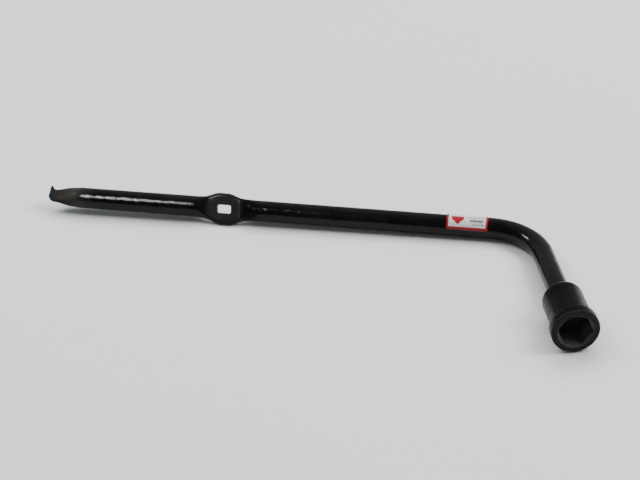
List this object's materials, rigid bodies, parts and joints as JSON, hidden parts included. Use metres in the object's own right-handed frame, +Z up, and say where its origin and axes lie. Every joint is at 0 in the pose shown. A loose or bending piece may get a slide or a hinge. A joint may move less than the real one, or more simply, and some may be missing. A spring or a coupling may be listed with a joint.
{
  "type": "lug wrench",
  "caption": "L-shaped steel lug wrench: round bar with a flat pry tip and a pierced flat eye, bent to a short leg that carries a hex socket for wheel nuts.",
  "frame": {"origin": "centre of the bounding box's base, on the surface that the tool lies on", "axes": "+X along the bar towards the bend, +Z up; the leg and its socket point towards -Y"},
  "size_m": [0.3956, 0.1326, 0.0334],
  "materials": {
    "black_paint": "gloss black enamel, slightly lumpy",
    "socket_paint": "semi-gloss black enamel",
    "weld_paint": "semi-gloss black enamel over a weld bead",
    "label_film": "satin printed film"
  },
  "bodies": {
    "root": {"shank": "black_paint", "socket": "socket_paint", "weld_bead": "weld_paint", "label": "label_film"}
  },
  "joints": []
}
